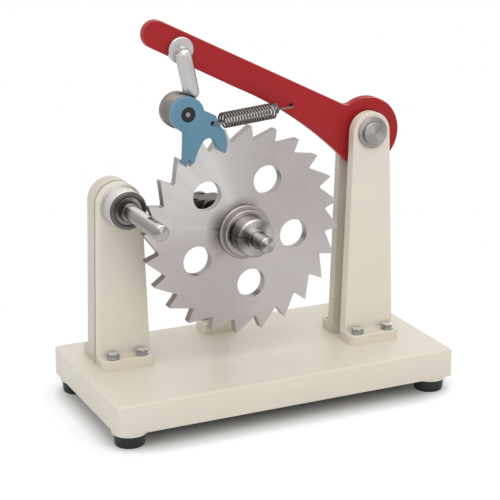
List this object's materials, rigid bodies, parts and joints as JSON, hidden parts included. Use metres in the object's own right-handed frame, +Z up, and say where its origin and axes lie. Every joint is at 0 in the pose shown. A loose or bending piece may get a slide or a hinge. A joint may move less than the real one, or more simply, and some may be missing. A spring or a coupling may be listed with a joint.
{
  "type": "ratchet wheel and pawl demonstrator",
  "caption": "Bench demonstrator: toothed ratchet wheel with a sprung pawl hung from a pivoted hand lever, and a spindle in a ball bearing, on a tray with rubber feet.",
  "frame": {"origin": "on the table, below the middle of the tray", "axes": "+Z up, +X along the tray towards the lever's pivot, +Y towards the rear, so the wheel's toothed face and the spindle's free end look along -Y"},
  "size_m": [0.35, 0.178, 0.374],
  "materials": {
    "cream_paint": "semi-gloss enamel",
    "red_paint": "semi-gloss enamel",
    "blue_paint": "semi-gloss enamel",
    "bright_steel": "turned",
    "wheel_steel": "ground",
    "zinc_steel": "zinc plated",
    "dark_steel": "blackened",
    "spring_steel": "drawn wire",
    "black_iron": "black enamel",
    "bronze": "bored",
    "black_rubber": "matt"
  },
  "bodies": {
    "frame": {"base_tray": "cream_paint", "foot_plates": "cream_paint", "foot_front_left": "black_rubber", "foot_front_right": "black_rubber", "foot_back_left": "black_rubber", "foot_back_right": "black_rubber", "foot_screws": "zinc_steel", "foot_nuts": "zinc_steel", "left_front_bracket": "cream_paint", "left_back_bracket": "cream_paint", "right_front_bracket": "cream_paint", "right_back_bracket": "cream_paint", "bracket_washers": "zinc_steel", "bracket_bolts": "zinc_steel", "bracket_nuts": "zinc_steel", "pivot_pin": "bright_steel", "pivot_washer_front": "bright_steel", "pivot_washer_back": "bright_steel", "pivot_nut": "zinc_steel", "lever_spacer_front": "bright_steel", "lever_spacer_back": "bright_steel", "rear_pillar": "cream_paint", "bearing_block": "black_iron", "block_screws": "zinc_steel", "shaft_bush": "bronze", "bearing_housing": "bright_steel", "bearing_outer_ring": "bright_steel", "bearing_balls": "bright_steel", "bearing_shields": "zinc_steel", "bearing_clips": "dark_steel", "spindle_bush": "bronze"},
    "lever": {"lever_arm": "red_paint", "lever_bush": "bronze", "lever_boss": "bright_steel", "carrier_stud": "bright_steel", "carrier_nut": "zinc_steel", "carrier_rod": "bright_steel", "pawl_pin": "bright_steel", "return_spring": "spring_steel"},
    "pawl": {"pawl_plate": "blue_paint", "pawl_bush": "dark_steel", "pawl_spacer": "bright_steel", "pawl_tooth": "dark_steel"},
    "wheel": {"ratchet_wheel": "wheel_steel", "wheel_hub": "bright_steel", "hub_nut": "bright_steel", "hub_key": "dark_steel", "wheel_shaft": "bright_steel", "shaft_collar_front": "bright_steel", "shaft_collar_back": "bright_steel"},
    "spindle": {"spindle": "bright_steel", "spindle_collar": "bright_steel", "bearing_inner_ring": "bright_steel"}
  },
  "joints": [
    {"name": "lever_pivot", "type": "hinge", "parent": "frame", "child": "lever", "pos_m": [0.1155, -0.0055, 0.2535], "axis": [0, 1, 0], "range_deg": [0, 45]},
    {"name": "pawl_pivot", "type": "hinge", "parent": "lever", "child": "pawl", "pos_m": [-0.079, -0.03, 0.2908], "axis": [0, 1, 0], "range_deg": [0, 4], "stiffness_Nm_per_rad": 0.5, "springref_deg": -14.32, "deforming": ["return_spring"]},
    {"name": "wheel_spin", "type": "hinge", "parent": "frame", "child": "wheel", "pos_m": [-0.0205, 0, 0.1718], "axis": [0, 1, 0], "continuous": true},
    {"name": "spindle_spin", "type": "hinge", "parent": "frame", "child": "spindle", "pos_m": [-0.129, 0, 0.2003], "axis": [0, 1, 0], "continuous": true}
  ]
}
